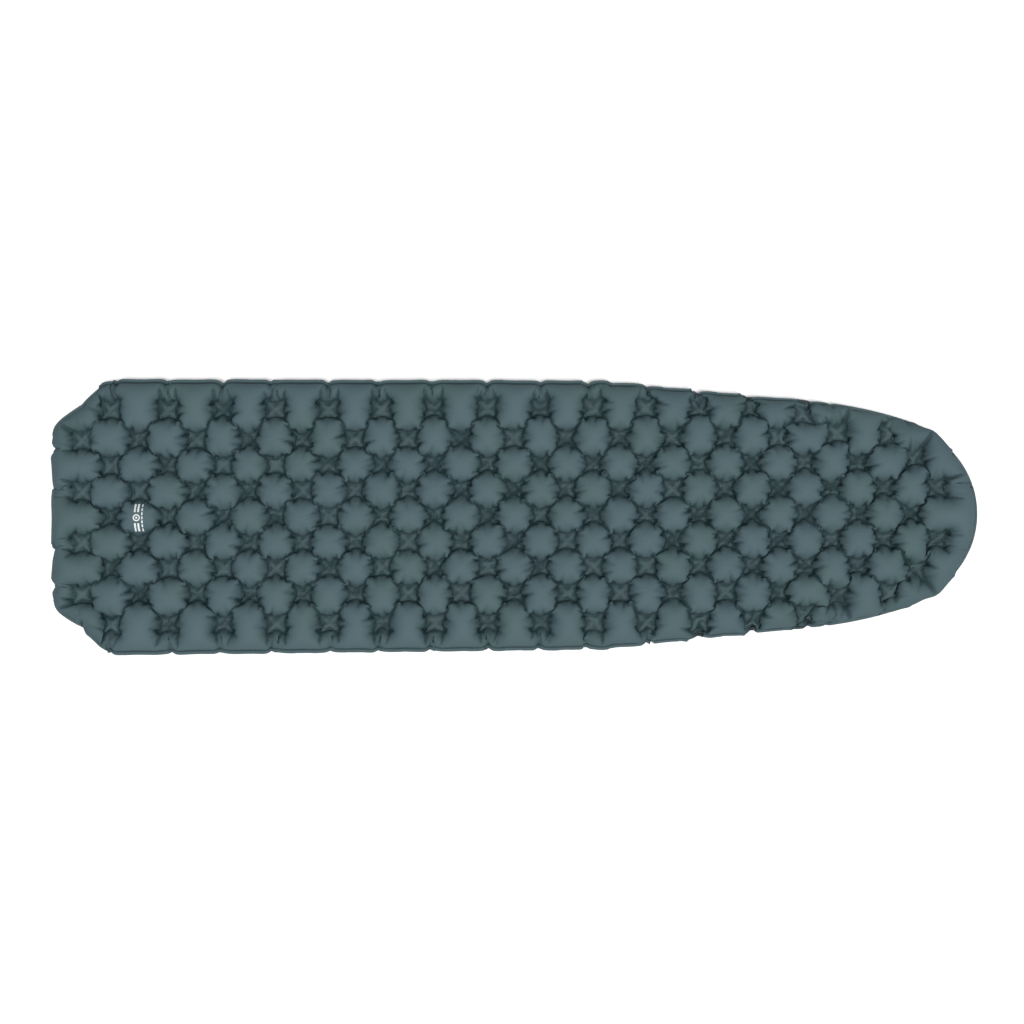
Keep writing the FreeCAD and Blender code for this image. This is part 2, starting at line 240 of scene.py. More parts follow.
def upper_arcs():
    """The outline's round stretches from head to foot, each joined to the next by a line."""
    head = (-HALF_LENGTH, HEAD_HALF_FLAT)
    arcs = [
        corner_arc((-HALF_LENGTH, 0.0), head, CHAMFER_END, HEAD_CORNER_RADIUS),
        corner_arc(head, CHAMFER_END, TAPER_START, HEAD_CORNER_RADIUS),
        corner_arc(CHAMFER_END, TAPER_START, TAPER_END, HIP_RADIUS),
    ]
    foot_x = HALF_LENGTH - FOOT_RADIUS
    tx, ty = unit(TAPER_END[0] - TAPER_START[0], TAPER_END[1] - TAPER_START[1])
    nx, ny = -ty, tx
    dx, dy = TAPER_END[0] - foot_x, TAPER_END[1]
    along = dx * nx + dy * ny
    radius = (dx * dx + dy * dy - FOOT_RADIUS**2) / (2 * (along - FOOT_RADIUS))
    cx, cy = TAPER_END[0] - radius * nx, TAPER_END[1] - radius * ny
    touch = math.atan2(-cy, foot_x - cx)
    arcs.append((cx, cy, radius, math.atan2(ny, nx), touch))
    arcs.append((foot_x, 0.0, FOOT_RADIUS, touch, 0.0))
    return arcs


def upper_line(step, out=0.0):
    """Close points along the outline's upper half, moved outwards by out, from head to foot."""
    points = [(-HALF_LENGTH - out, 0.0)]
    for cx, cy, radius, start, end in upper_arcs():
        count = max(2, int(abs(start - end) * (radius + out) / step))
        for angle in np.linspace(start, end, count + 1):
            x = cx + (radius + out) * math.cos(angle)
            y = cy + (radius + out) * math.sin(angle)
            points.append((x, y))
    points = np.array(points)
    return evenly(points, int(lengths_along(points)[-1] / step))


def lengths_along(points):
    """How far along the line through the points each of them is."""
    return np.r_[0, np.cumsum(np.hypot(*np.diff(points, axis=0).T))]


def evenly(points, count):
    """count + 1 evenly spaced points on the line through the given ones."""
    along = lengths_along(points)
    at = np.linspace(0, along[-1], count + 1)
    return np.stack([np.interp(at, along, points[:, k]) for k in (0, 1)], 1)


def long_edge(line):
    """The stretch of the outline that the grid's upper edge follows, and its first point."""
    first = int(np.argmax(line[:, 1] >= LONG_EDGE_START))
    angle = np.arctan2(line[:, 1], line[:, 0] - (HALF_LENGTH - FOOT_RADIUS))
    last = len(line) - 1 - int(np.argmax(angle[::-1] >= FOOT_CORNER))
    return line[first : last + 1], first


def plan_grid(columns, rows, out):
    """A grid of points that fills the outline: even along its long edges and across it."""
    line = upper_line(0.5 * MM, out)
    edge, first = long_edge(line)
    upper = evenly(edge, columns)
    lower = upper * (1, -1)
    v = np.linspace(0, 1, rows + 1)
    head_y = (2 * v - 1) * edge[0, 1]
    head_x = np.interp(abs(head_y), line[: first + 1, 1], line[: first + 1, 0])
    head = np.stack([head_x, head_y], 1)
    foot_x = HALF_LENGTH - FOOT_RADIUS
    turn = (2 * v - 1) * math.atan2(edge[-1, 1], edge[-1, 0] - foot_x)
    radius = FOOT_RADIUS + out
    foot = np.stack([foot_x + radius * np.cos(turn), radius * np.sin(turn)], 1)

    across = v[None, :, None]
    at = np.linspace(0, lengths_along(edge)[-1], columns + 1)
    u = (at / at[-1])[:, None, None]

    def straight(a, b):
        return (1 - across) * a + across * b

    head_share = np.clip(1 - u / HEAD_BLEND_END, 0, 1)
    foot_share = np.clip((u - FOOT_BLEND_START) / (1 - FOOT_BLEND_START), 0, 1)
    plan = straight(lower[:, None], upper[:, None])
    plan = plan + head_share * (head[None] - straight(head[0], head[-1]))
    return plan + foot_share * (foot[None] - straight(foot[0], foot[-1]))


def distances(points, others):
    """A table of how far each point is from each of the others."""
    return np.hypot(*(points[:, None] - others[None]).transpose(2, 0, 1))


def edge_distance(plan, out):
    """How far each point of the plan is from the outline."""
    line = upper_line(2 * MM, out)
    columns = np.stack([plan[..., 0], abs(plan[..., 1])], -1)
    return np.array([distances(column, line).min(1) for column in columns])


def line_gaps(x, y, line):
    """How far the point is from each point of the outline."""
    return np.hypot(line[:, 0] - x, line[:, 1] - abs(y))


def kept_inside(x, y, line):
    """The weld's place, moved in where it is too near the outline. None if it is outside."""
    gap = line_gaps(x, y, line)
    inside = abs(y) < np.interp(x, line[:, 0], line[:, 1])
    away = gap.min() if inside else -gap.min()
    if away < -WELD_MAX_OUTSIDE:
        return None
    if away < WELD_MIN_INSET:
        near = line[int(gap.argmin())] * (1, 1 if y >= 0 else -1)
        inwards = (np.array([x, y]) - near) * (1 if away > 0 else -1)
        x, y = near + inwards / np.hypot(*inwards) * WELD_MIN_INSET
    return x, y


def weld_places():
    """Centres of the dot welds on the inflated pad."""
    line = upper_line(1 * MM)
    places = []
    for row in range(-ROWS, ROWS + 1):
        y = row * ROW_PITCH
        if abs(row) == ROWS:
            y += math.copysign(OUTER_ROW_SHIFT, y)
        x0 = WELD_X0 + (WELD_PITCH / 2 if row % 2 else 0.0)
        for step in range(-STEPS_EACH_WAY, STEPS_EACH_WAY):
            x = x0 + step * WELD_PITCH
            if abs(x) > WELD_X_LIMIT:
                continue
            x -= HEAD_STRETCH * max(0.0, HEAD_STRETCH_END - x)
            place = kept_inside(x, y, line)
            if place:
                places.append(place)
                y = place[1]  # a row that is moved in goes on from there
    return thinned(np.array(places), line)


def thinned(places, line):
    """The same places. Of any two too close together, only the one further in is kept."""
    while True:
        gaps = distances(places, places) + np.eye(len(places))  # no weld is near itself
        first, second = np.unravel_index(gaps.argmin(), gaps.shape)
        if gaps[first, second] > WELD_MIN_GAP:
            return places
        if line_gaps(*places[first], line).min() < line_gaps(*places[second], line).min():
            first, second = second, first
        places[first] += (places[second] - places[first]) * WELD_MERGE_SHIFT
        places = np.delete(places, second, axis=0)


# -------- valve place
def valve_frame():
    """(origin, along the bevel up to the seam, across, outwards) of the valve.

    It is on the -Y chamfer, whose middle is (mx, my) and outward direction (ex, ey).
    """
    ax, ay = -HALF_LENGTH, -HEAD_HALF_FLAT
    bx, by = CHAMFER_END[0], -CHAMFER_END[1]
    ux, uy = unit(bx - ax, by - ay)
    mx, my, ex, ey = (ax + bx) / 2, (ay + by) / 2, uy, -ux
    outwards = np.array([ex * math.sin(BEVEL), ey * math.sin(BEVEL), -math.cos(BEVEL)])
    up_slope = np.array([ex * math.cos(BEVEL), ey * math.cos(BEVEL), math.sin(BEVEL)])
    z = THICKNESS / 2 - VALVE_INSET * math.tan(BEVEL)
    origin = np.array([mx - ex * VALVE_INSET, my - ey * VALVE_INSET, z])
    return origin, up_slope, np.cross(outwards, up_slope), outwards


# -------- cloth solver
def weld_shapes(lifted):
    """(middle to corner, power) of each weld, as columns."""
    return np.where(lifted[:, None], WELD_UP, WELD_DOWN).T


def weld_reach(gap, corner, power):
    """0 in the middle of a weld and 1 on its rim: a hollow square that stands on a corner."""
    a = abs(gap[..., 0] + gap[..., 1]) / math.sqrt(2)
    b = abs(gap[..., 0] - gap[..., 1]) / math.sqrt(2)
    return (a**power + b**power) ** (1 / power) / corner


def nearest_welds(flat, centres):
    """(distance to the nearest weld, its number, number of the next nearest) of each point."""
    away = np.array([np.hypot(*(flat - centre).T) for centre in centres])
    nearest, index = away.min(0), away.argmin(0)
    away[index, np.arange(len(flat))] = math.inf
    return nearest, index, away.argmin(0)


class Level:
    """One grid of the two sheets: its flat cut, its welds and seam, and its springs."""

    def __init__(self, columns, rows, welds, lifted, squeeze):
        self.plan = plan_grid(columns, rows, EDGE_ALLOWANCE)
        self.flat = self.plan * SHRINK
        self.step = self.spacing()
        self.lifted = lifted
        self.set_welds(welds * SHRINK)
        inset = edge_distance(self.plan, EDGE_ALLOWANCE) * SHRINK
        self.seam = inset < SEAM_WIDTH
        for border in BORDERS:
            self.seam[border] = True
        self.flange = inset < SEAM_WIDTH - self.step / 2
        self.set_patch()
        self.springs = self.make_springs(squeeze)

    def spacing(self):
        """The middle value of the grid's spacing, over both directions."""
        gaps = [np.diff(self.flat, axis=axis).reshape(-1, 2).T for axis in (0, 1)]
        return sum(np.median(np.hypot(*gap)) for gap in gaps) / 2

    def set_welds(self, centres):
        """Which points each weld fuses. Points near a weld's rim are moved onto it."""
        shape = self.flat.shape[:2]
        flat = self.flat.reshape(-1, 2)
        nearest, index, runner_up = nearest_welds(flat, centres)
        gap = flat - centres[index]
        reach = weld_reach(gap, *weld_shapes(self.lifted)[:, index])
        if self.step < WELD_SMALLEST / 3:
            to_rim = gap * (1 / np.maximum(reach, 0.1) - 1)[:, None]
            rim = np.hypot(*to_rim.T) < RIM_SNAP * self.step
            flat[rim] += to_rim[rim]
            reach[rim] = 1
        self.reach = reach.reshape(shape)
        self.gap = gap.reshape(shape + (2,))
        self.weld = ((reach <= 1.0001) | (nearest < WELD_CATCH * self.step)).reshape(shape)
        self.owner = index.reshape(shape)
        self.index = self.owner[self.weld]
        self.set_creases(flat, centres, index, runner_up)

    def make_springs(self, squeeze):
        """(one end, other end, rest length, stretch and squeeze stiffness) of each set.

        No two springs of a set share a point.
        """
        columns, rows = self.flat.shape[:2]
        every = slice(None)
        springs = []

        def add(a, b, stiffness):
            gap = self.flat[b] - self.flat[a]
            rest = np.hypot(gap[..., 0], gap[..., 1]).astype(np.float32)
            resist = np.where(self.weld[a] & self.weld[b], WELD_SQUEEZE, squeeze)
            resist = (stiffness / 2 * resist).astype(np.float32)
            springs.append((a, b, rest, stiffness / 2, resist))

        for start in (0, 1):
            a, b = slice(start, columns - 1, 2), slice(start + 1, columns, 2)
            c, d = slice(start, rows - 1, 2), slice(start + 1, rows, 2)
            add((a, every), (b, every), 1.0)
            add((every, c), (every, d), 1.0)
            add((a, slice(0, rows - 1)), (b, slice(1, rows)), DIAGONAL_STIFFNESS)
            add((a, slice(1, rows)), (b, slice(0, rows - 1)), DIAGONAL_STIFFNESS)
        return springs

    def set_creases(self, flat, centres, index, runner_up):
        """How far each point is off the creases, with a sign for each crease's two sides, for the
        painted shade lines along them.

        One kind runs round each weld, the other from each weld to its diagonal neighbours.
        """
        reach = np.minimum(self.reach, 3)
        slope = np.hypot(*np.gradient(reach)) / self.step
        slope = np.maximum(slope, 1 / (60 * MM))
        self.off_rim = np.clip((reach - 1) / slope, -CREASE_REACH, CREASE_REACH)
        low, high = np.minimum(index, runner_up), np.maximum(index, runner_up)
        link = centres[high] - centres[low]
        length = np.maximum(np.hypot(*link.T), 1 * MM)
        link = link / length[:, None]
        gap = flat - centres[low]
        off = gap[:, 0] * link[:, 1] - gap[:, 1] * link[:, 0]
        along = gap[:, 0] * link[:, 0] + gap[:, 1] * link[:, 1]
        near = (abs(off) < CREASE_REACH) & (length < LINK_LONGEST * SHRINK)
        near &= (along > 0) & (along < length)
        self.off_link = np.clip(off, -CREASE_REACH, CREASE_REACH).reshape(self.reach.shape)
        self.on_link = (near.reshape(self.reach.shape) & (self.reach > 1)).astype(float)

    def set_patch(self):
        """The flat stretch of the bottom sheet round the valve, with points on its hole's rim."""
        origin, up_slope, across, _ = valve_frame()
        centre = origin[:2] * SHRINK
        gap = self.flat - centre
        away = np.hypot(gap[..., 0], gap[..., 1])
        if self.step < HOLE_RADIUS / 3:
            rim = abs(away - HOLE_RADIUS) < HOLE_SNAP * self.step
            gap[rim] *= (HOLE_RADIUS / away[rim])[:, None]
            away[rim] = HOLE_RADIUS
            self.flat[rim] = centre + gap[rim]
        self.from_valve = away
        self.patch = away <= PATCH_RADIUS + self.step / 4
        along = unit(up_slope[0], up_slope[1])
        a = gap[..., 0] * along[0] + gap[..., 1] * along[1]
        b = gap[..., 0] * across[0] + gap[..., 1] * across[1]
        spots = origin + a[..., None] * up_slope + b[..., None] * across
        self.patch_place = spots[self.patch].T.astype(np.float32)


def pull(sheets, spring):
    """Moves both ends of every spring of a set towards its rest length."""
    a, b, rest, stretch, squeeze = spring
    both = (slice(None), slice(None))
    first, second = sheets[both + a], sheets[both + b]
    gap = second - first
    length = np.sqrt(gap[0] * gap[0] + gap[1] * gap[1] + gap[2] * gap[2])
    share = length - rest
    share *= np.where(share > 0, np.float32(stretch), squeeze)
    share /= np.maximum(length, np.float32(1e-6))
    gap *= share
    first += gap
    second -= gap


def area_normals(sheets):
    """Outward normals, as long as four grid cells' area. The bottom sheet's point down."""
    slopes = []
    for axis in (2, 3):
        lines = np.moveaxis(sheets, axis, 0)
        slope = np.empty_like(lines)
        slope[1:-1] = lines[2:] - lines[:-2]
        slope[0] = 2 * (lines[1] - lines[0])
        slope[-1] = 2 * (lines[-1] - lines[-2])
        slopes.append(np.moveaxis(slope, 0, axis))
    du, dv = slopes
    normal = np.empty_like(sheets)
    normal[0] = du[1] * dv[2] - du[2] * dv[1]
    normal[1] = du[2] * dv[0] - du[0] * dv[2]
    normal[2] = du[0] * dv[1] - du[1] * dv[0]
    normal[:, 1] *= -1
    return normal


def unit_normals(sheets):
    normal = area_normals(sheets)
    return normal / np.maximum(np.linalg.norm(normal, axis=0), 1e-12)


def refine(sheets):
    """The same sheets on a grid of half the spacing."""
    columns, rows = sheets.shape[2:]
    fine = np.empty(sheets.shape[:2] + (2 * columns - 1, 2 * rows - 1), np.float32)
    fine[:, :, ::2, ::2] = sheets
    fine[:, :, 1::2, ::2] = (sheets[:, :, 1:] + sheets[:, :, :-1]) / 2
    fine[..., 1::2] = (fine[..., 2::2] + fine[..., :-2:2]) / 2
    return fine


def start_sheets(level, rng):
    """Both sheets at the inflated size, with a low bump on each cell."""
    sheets = np.empty((3, 2) + level.flat.shape[:2], np.float32)
    sheets[:2] = level.flat.transpose(2, 0, 1)[:, None] / SHRINK
    a = (sheets[0, 0] - WELD_X0) / (WELD_PITCH / 2)
    b = sheets[1, 0] / ROW_PITCH
    bump = np.sqrt(abs(np.sin(math.pi * (a + b) / 2) * np.sin(math.pi * (a - b) / 2)))
    lift = START_GAP + START_BUMP * bump
    sheets[2, 0] = MIDDLE + lift
    sheets[2, 1] = MIDDLE - lift
    sheets[2][:, level.weld | level.seam] = MIDDLE
    sheets[2] += rng.normal(0, START_NOISE, sheets[2].shape)
    return sheets


def crumple_welds(sheets, level, rng):
    """Crumples each weld: domed up or down, with four uneven ridges towards its corners."""
    side = np.where(level.lifted, 1.0, SUNKEN_DOME)[level.index]
    gap, reach = level.gap[level.weld], np.minimum(level.reach[level.weld], 1)
    angle = np.arctan2(gap[:, 1], gap[:, 0])
    arm = np.floor((angle + math.pi) / (math.pi / 2)).astype(int) % 4
    strength = rng.uniform(*RIDGE_SPREAD, (len(level.lifted), 4))[level.index, arm]
    ridge = -np.cos(4 * angle) * strength * 4 * reach * (1 - reach)
    ridge *= np.where(level.lifted, LIFTED_RIDGE, 1.0)[level.index]
    lift = WELD_DOME * side * (1 - reach**2) + WELD_RIDGE * ridge
    sheets[2][:, level.weld] += lift


def from_each_border(*fields):
    """For each of the grid's four borders, the fields turned so that it is their first row."""
    for axis in (0, 1):
        turned = [np.moveaxis(field, field.ndim - 2 + axis, field.ndim - 2) for field in fields]
        yield turned
        yield [field[..., ::-1, :] for field in turned]


def seam_rows(level):
    """How many grid rows the seam is wide."""
    return max(1, int(round(SEAM_WIDTH / level.step)))


def even_outline(sheets, level):
    """Draws the edges towards the pad's outline, and the cloth behind them less and less."""
    count = seam_rows(level)
    line = upper_line(1 * MM, -count * level.step)
    lines = int(EVEN_DEPTH / level.step)
    for (turned,) in from_each_border(sheets):
        edge = turned[:2, 0, count].T
        mirror = np.where(edge < 0, (1, -1), (1, 1))
        half = edge * mirror
        nearest = distances(half, line).argmin(1)
        shift = (line[nearest] - half) * mirror
        shift *= np.interp(edge[:, 0], EVEN_X, EVEN_SHARES)[:, None]
        for back in range(lines):
            share = (0.5 + 0.5 * math.cos(math.pi * back / lines)) ** 1.5
            turned[:2, :, count + back] += (shift.T * share)[:, None].astype(np.float32)


def notch_edges(sheets, level, welds, rng):
    """Pulls the long edges in to a sharp V beside each weld of the outer rows."""
    level.notch = np.zeros(level.flat.shape[:2])
    place = sheets[:2, 0].copy()
    for side, border in ((-1, 0), (1, -1)):
        edge = place[:, :, border]
        for x, y in welds:
            from_edge = np.hypot(edge[0] - x, edge[1] - y)
            at = int(from_edge.argmin())
            in_range = NOTCH_FROM < at / len(from_edge) < NOTCH_TO
            if y * side < 0 or from_edge[at] > NOTCH_REACH or not in_range:
                continue
            depth = NOTCH_DEPTH * rng.uniform(*NOTCH_SPREAD)
            inwards = np.array([x, y]) - edge[:, at]
            inwards /= np.hypot(*inwards)
            gap = place - edge[:, at][:, None, None]
            along = gap[0] * inwards[0] + gap[1] * inwards[1]
            across = gap[0] * inwards[1] - gap[1] * inwards[0]
            shape = np.clip(1 - abs(across) / NOTCH_HALF_WIDTH, 0, 1) ** 1.6
            shape *= np.clip(1.15 - along / NOTCH_LENGTH, 0, 1) * (abs(along) < 2 * NOTCH_LENGTH)
            sheets[:2] += (inwards[:, None, None] * depth * shape)[:, None].astype(np.float32)
            level.notch = np.maximum(level.notch, shape * depth / NOTCH_DEPTH)


def flatten_flange(sheets, level):
    """Lays the seam's flange out level, straight outwards from its inner edge."""
    count = seam_rows(level)
    cut, plan = level.flat.transpose(2, 0, 1), level.plan.transpose(2, 0, 1)
    for turned, flat, place in from_each_border(sheets, cut, plan):
        outwards = place[:, 0] - place[:, count]
        outwards /= np.hypot(*outwards)
        inner = turned[:, :, count].copy()
        for row in range(count):
            away = np.hypot(*(flat[:, row] - flat[:, count]))
            turned[0, :, row] = inner[0] + outwards[0] * away
            turned[1, :, row] = inner[1] + outwards[1] * away
            turned[2, :, row] = inner[2]


def tuck_depths(level, rng):
    """How deep the tucks that leave the welds' sides are: 0 away from them."""
    count = len(level.lifted)
    corner, power = weld_shapes(level.lifted)
    side_place = corner * math.sqrt(2) / 2 ** (1 / power)
    depth = np.zeros(level.reach.shape)
    for axis in (0, 1):
        for facing in (1, -1):
            out = level.gap[..., axis] * facing
            across = level.gap[..., 1 - axis]
            here = (out > abs(across) * TUCK_FAN) & ~level.weld
            owner = level.owner[here]
            past = out[here] - side_place[owner]
            for place, share in zip(TUCK_PLACES, TUCK_SHARES):
                jitter = rng.uniform(-TUCK_JITTER, TUCK_JITTER, count)[owner]
                length = TUCK_LENGTH * rng.uniform(*TUCK_LENGTH_SPREAD, count)[owner]
                amount = TUCK_DEPTH * share * rng.uniform(*TUCK_DEPTH_SPREAD, count)[owner]
                amount = amount * (1.0 if axis == 0 else TUCK_SHARE_ACROSS)
                fade = np.clip(TUCK_FADE * (1 - past / length), 0, 1)
                centre = place + jitter - TUCK_LEAN * np.sign(place) * past
                width = TUCK_WIDTH * (TUCK_END_WIDTH + (1 - TUCK_END_WIDTH) * fade)
                shape = np.clip(1 - abs(across[here] - centre) / width, 0, 1)
                depth[here] = np.maximum(depth[here], amount * fade * shape)
    return depth


def add_tucks(sheets, level, rng):
    """Presses the tucks into both sheets, and keeps how deep they are, with the edge notches, as a
    mask for painted shade in the cloth's colour.
    """
    level.tucks = []
    for side in (0, 1):
        depth = tuck_depths(level, rng)
        if side == 1:
            depth *= np.clip((level.from_valve - PATCH_RADIUS) / PATCH_RADIUS, 0, 1)
        normal = unit_normals(sheets)[:, side]
        sheets[:, side] -= (normal * depth).astype(np.float32)
        # mask for the painted shade: tuck depth, and the edge notches
        level.tucks.append(np.clip(depth / TUCK_DEPTH, 0, 1) + NOTCH_SHADE * level.notch)
    sheets[:, 1][:, level.patch] = level.patch_place


def inflate(sheets, level, targets, steps, push, damping, smooth):
    """Blows the sheets up. They stay above the floor, and fused at the seam and the welds."""
    fused = level.weld | level.seam
    share = 1 / np.maximum(np.bincount(level.index, minlength=len(targets)), 1)
    pressure = np.float32(push / (4 * level.step**2))
    puffed = np.array([[1], [1], [PUFF]], np.float32)
    before = sheets.copy()
    for step in range(steps):
        speed = (sheets - before) * np.float32(damping)
        before[...] = sheets
        force = area_normals(sheets) * pressure
        force[:, :, fused] = 0
        sheets += speed
        sheets += force
        for spring in level.springs if step % 2 == 0 else level.springs[::-1]:
            pull(sheets, spring)
        if smooth:
            inner = sheets[:, :, 1:-1, 1:-1]
            mean = sheets[:, :, 2:, 1:-1] + sheets[:, :, :-2, 1:-1]
            mean = (mean + sheets[:, :, 1:-1, 2:] + sheets[:, :, 1:-1, :-2]) / 4
            inner += (mean - inner) * np.float32(smooth)
        mean = (sheets[:, 0] + sheets[:, 1]) / 2
        for axis, hold in enumerate((WELD_HOLD, WELD_HOLD, WELD_HOLD_Z)):
            now = np.bincount(level.index, mean[axis][level.weld], len(targets)) * share
            mean[axis][level.weld] += (targets[:, axis] - now)[level.index] * hold
        mean[2][level.seam] += (MIDDLE - mean[2][level.seam]) * SEAM_HOLD_Z
        for side in (0, 1):
            sheets[:, side][:, fused] = mean[:, fused]
        sheets[:, 1][:, level.patch] = level.patch_place * puffed
        np.maximum(sheets[2], 0, out=sheets[2])
    return sheets


def inflated_pad():
    """(sheets, level): the top and bottom sheet at the pad's real thickness."""
    rng = np.random.default_rng(SEED)
    welds = weld_places()
    targets = np.column_stack([welds, np.full(len(welds), MIDDLE)])
    chance = LIFTED_INSIDE + LIFTED_OUTWARDS * (abs(welds[:, 1]) / (ROWS * ROW_PITCH)) ** 1.5
    lifted = rng.random(len(welds)) < chance
    sheets = None
    levels = LEVELS
    for columns, rows, squeeze, *settings in levels:
        level = Level(columns, rows, welds, lifted, squeeze)
        if sheets is None:
            sheets = start_sheets(level, rng)
        else:
            sheets = refine(sheets)
            sheets += rng.normal(0, LATER_NOISE, sheets.shape).astype(np.float32)
        sheets = inflate(sheets, level, targets, *settings)
    even_outline(sheets, level)
    notch_edges(sheets, level, welds, rng)
    flatten_flange(sheets, level)
    crumple_welds(sheets, level, rng)
    sheets[2] /= PUFF
    add_tucks(sheets, level, rng)
    np.maximum(sheets[2], 0, out=sheets[2])
    return sheets, level


# -------- sheets as meshes
def blurred(field, passes):
    """The field after so many passes of a small smoothing filter."""
    for _ in range(passes):
        for axis in (0, 1):
            field = np.moveaxis(field, axis, 0)
            near = np.concatenate([field[:1], field, field[-1:]])
            field = np.moveaxis((near[:-2] + 2 * field + near[2:]) / 4, 0, axis)
    return field


def openness(height, step):
    """How open each point is to the light, painted as shade into the cloth's colour: 1 on the
    crowns, low in pits and folds, and lower down the sides.
    """
    dark = 0
    for radius, strength in PIT_SHADES:
        passes = int(2 * (radius / step) ** 2) + 1
        dark = dark + np.maximum(blurred(height, passes) - height, 0) * strength
    rise = np.clip((height - height.max() + THICKNESS / 2) / (THICKNESS / 2), 0, 1)
    return np.exp(-dark) * (LOWEST_LIT + (1 - LOWEST_LIT) * rise)


def painted_line_strength(level):
    """How strong the painted shade line round each weld is: strongest on its -Y side, weakest on
    +Y, as the light falls.
    """
    turn = level.gap[..., 1] / np.maximum(np.hypot(level.gap[..., 0], level.gap[..., 1]), 1 * MM)
    return np.clip(LINE_SHADE_MIDDLE - LINE_SHADE_SWING * turn, *LINE_SHADE_RANGE) * ~level.flange


def hollowness(sheet, normal):
    """From 0 on flat or crowned cloth to 1 deep in a crease: how strongly painted shade darkens
    the cloth's colour there.
    """
    reach = HOLLOW_REACH
    columns, rows = sheet.shape[1:]
    near = np.pad(sheet, ((0, 0), (reach, reach), (reach, reach)), mode="edge")
    mean = 0
    for i, j in ((0, reach), (2 * reach, reach), (reach, 0), (reach, 2 * reach)):
        mean = mean + near[:, i : i + columns, j : j + rows] / 4
    return np.clip(((mean - sheet) * normal).sum(0) / HOLLOW_DEPTH, 0, 1)


def linked(name, data):
    """A new object in the scene, with this data."""
    made = bpy.data.objects.new(name, data)
    bpy.context.scene.collection.objects.link(made)
    return made


def quads(rows, columns, start=0):
    """The faces of a grid of points that are numbered row by row."""
    faces = []
    for i in range(rows - 1):
        for j in range(columns - 1):
            a = start + i * columns + j
            faces.append((a, a + columns, a + columns + 1, a + 1))
    return faces


def set_attribute(mesh, name, kind, key, values):
    """Keeps a value per vertex on the mesh, for the materials."""
    attribute = mesh.attributes.new(name, kind, "POINT")
    attribute.data.foreach_set(key, values.astype(np.float32).ravel())


def grid_mesh(name, points, faces, level, fields):
    """A mesh from grid points, with its flat cut as the attribute 'flat' and as UV map."""
    mesh = bpy.data.meshes.new(name)
    mesh.vertices.add(len(points))
    mesh.vertices.foreach_set("co", points.astype(np.float32).ravel())
    mesh.loops.add(faces.size)
    mesh.loops.foreach_set("vertex_index", faces.astype(np.int32).ravel())
    mesh.polygons.add(len(faces))
    mesh.polygons.foreach_set("loop_start", np.arange(0, faces.size, 4, dtype=np.int32))
    mesh.update(calc_edges=True)
    flat = np.concatenate([level.flat.reshape(-1, 2), np.zeros((len(points), 1))], 1)
    set_attribute(mesh, "flat", "FLOAT_VECTOR", "vector", flat)
    for field, values in fields.items():
        set_attribute(mesh, field, "FLOAT", "value", values)
    side = 2 * HALF_LENGTH * SHRINK * 1.05  # the whole cut fits in the UV map's square
    uv = mesh.uv_layers.new(name="OFBake")
    place = flat[faces.ravel(), :2] / side + 0.5
    uv.data.foreach_set("uv", place.astype(np.float32).ravel())
    mesh.polygons.foreach_set("use_smooth", np.ones(len(faces), bool))
    mesh.validate()
    return linked(name, mesh)


def sheet_faces(level, side):
    """The sheet's faces as corner numbers. The bottom sheet's leave out the valve's hole."""
    faces = np.array(quads(*level.flat.shape[:2]))
    if side == 0:
        return faces
    outside = (level.from_valve > HOLE_RADIUS - 0.01 * MM).ravel()
    return faces[outside[faces].all(1)][:, (0, 3, 2, 1)]  # it faces down


def shading_fields(sheet, normal, level, side):
    """What the fabric's material needs to know at each point, mostly masks for the painted shade
    in its colour.
    """
    # mask for the painted shade in creases
    crease = hollowness(sheet, normal)
    crease[level.flange] = 0
    # painted shade: pits, folds and the lower sides of cells darkened in the colour, and a fixed
    # shade on the flange
    lit = openness(sheet[2] if side == 0 else -sheet[2], level.step / SHRINK)
    lit[level.flange] = FLANGE_LIT
    return {
        "crease": crease,
        "lit": lit,
        "fused": (level.weld | level.seam) * 1.0,
        "tuck": level.tucks[side],
        "off_rim": level.off_rim,
        "off_link": level.off_link,
        "on_link": level.on_link,
        "line_shade": painted_line_strength(level),
    }


def sheet_piece(slot, sheets, level, side, node, materials):
    """One sheet of the pad, named as its material, shown in place of a CAD node, which is hidden.
    """
    sheet = sheets[:, side].astype(float)
    fields = shading_fields(sheet, unit_normals(sheets)[:, side], level, side)
    shift = np.where(level.weld | level.seam, FUSED_GAP, 0.0)
    for border in BORDERS:
        shift[border] = 0.0
    sheet[2] += shift if side == 0 else -shift
    points = sheet.reshape(3, -1).T
    piece = grid_mesh(slot, points, sheet_faces(level, side), level, fields)
    piece.data.materials.append(materials[slot])
    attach(piece, "pad")
    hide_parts(node)
    return piece


# -------- printed mark
def ring_points(radius, count=48):
    angle = np.linspace(0, 2 * math.pi, count + 1)
    return np.stack([radius * np.cos(angle), radius * np.sin(angle)], 1)


def bar_patch(x0, x1, y0, y1):
    """A rectangle as a grid of points fine enough to lie on curved cloth."""
    x = np.linspace(x0, x1, max(2, int((x1 - x0) / MARK_STEP) + 2))
    y = np.linspace(y0, y1, max(2, int((y1 - y0) / MARK_STEP) + 2))
    return np.stack(np.meshgrid(x, y, indexing="ij"), -1)


def mark_patches():
    """The printed mark's shapes: a ring and a dot between two bars, beside a row of dashes."""
    patches = []
    for radii in (MARK_RING, MARK_DOT):
        patches.append(np.stack([ring_points(radius) for radius in radii]))
    for y in MARK_BAR_STARTS:
        for x0, x1 in MARK_BAR_SIDES:
            patches.append(bar_patch(x0, x1, y, y + MARK_BAR_LENGTH))
    for k in range(MARK_DASHES):
        y = MARK_BAR_STARTS[0] + MARK_DASH_PITCH * k
        patches.append(bar_patch(*MARK_DASH_SIDE, y, y + MARK_DASH_LENGTH))
    return patches


